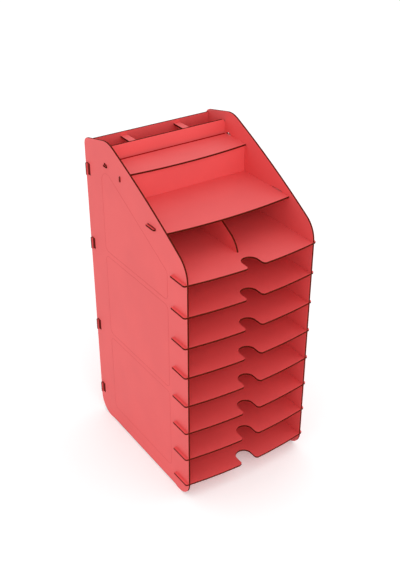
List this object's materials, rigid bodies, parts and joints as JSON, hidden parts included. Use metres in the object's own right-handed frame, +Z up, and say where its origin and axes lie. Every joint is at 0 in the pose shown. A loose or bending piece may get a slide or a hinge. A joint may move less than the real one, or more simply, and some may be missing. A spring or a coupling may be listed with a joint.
{
  "type": "document rack",
  "caption": "Tall desk rack of lacquered board with push-in paper trays, an upper shelf, a step and a rear pocket under sloping side panels.",
  "frame": {"origin": "on the table, under the middle of the rack's box", "axes": "+Z up, -Y towards the open front of the trays, +X to the right of someone who faces the front"},
  "size_m": [0.2604, 0.3255, 0.5904],
  "materials": {
    "red_board": "satin red lacquer on the faces, dark burnt cut edges"
  },
  "bodies": {
    "rack": {"left_side_panel": "red_board", "right_side_panel": "red_board", "back_panel": "red_board", "upper_shelf": "red_board", "riser": "red_board", "step_shelf": "red_board", "pocket_wall": "red_board", "pocket_bar_left": "red_board", "pocket_bar_right": "red_board"},
    "tray_1": {"tray_1": "red_board", "top_bay_divider": "red_board"},
    "tray_2": {"tray_2": "red_board"},
    "tray_3": {"tray_3": "red_board"},
    "tray_4": {"tray_4": "red_board"},
    "tray_5": {"tray_5": "red_board"},
    "tray_6": {"tray_6": "red_board"},
    "tray_7": {"tray_7": "red_board"},
    "tray_8": {"tray_8": "red_board"}
  },
  "joints": [
    {"name": "tray_1_slide", "type": "slide", "parent": "rack", "child": "tray_1", "axis": [0, -1, 0], "range_m": [0, 0.036]},
    {"name": "tray_2_slide", "type": "slide", "parent": "rack", "child": "tray_2", "axis": [0, -1, 0], "range_m": [0, 0.036]},
    {"name": "tray_3_slide", "type": "slide", "parent": "rack", "child": "tray_3", "axis": [0, -1, 0], "range_m": [0, 0.036]},
    {"name": "tray_4_slide", "type": "slide", "parent": "rack", "child": "tray_4", "axis": [0, -1, 0], "range_m": [0, 0.036]},
    {"name": "tray_5_slide", "type": "slide", "parent": "rack", "child": "tray_5", "axis": [0, -1, 0], "range_m": [0, 0.036]},
    {"name": "tray_6_slide", "type": "slide", "parent": "rack", "child": "tray_6", "axis": [0, -1, 0], "range_m": [0, 0.036]},
    {"name": "tray_7_slide", "type": "slide", "parent": "rack", "child": "tray_7", "axis": [0, -1, 0], "range_m": [0, 0.036]},
    {"name": "tray_8_slide", "type": "slide", "parent": "rack", "child": "tray_8", "axis": [0, -1, 0], "range_m": [0, 0.036]}
  ]
}
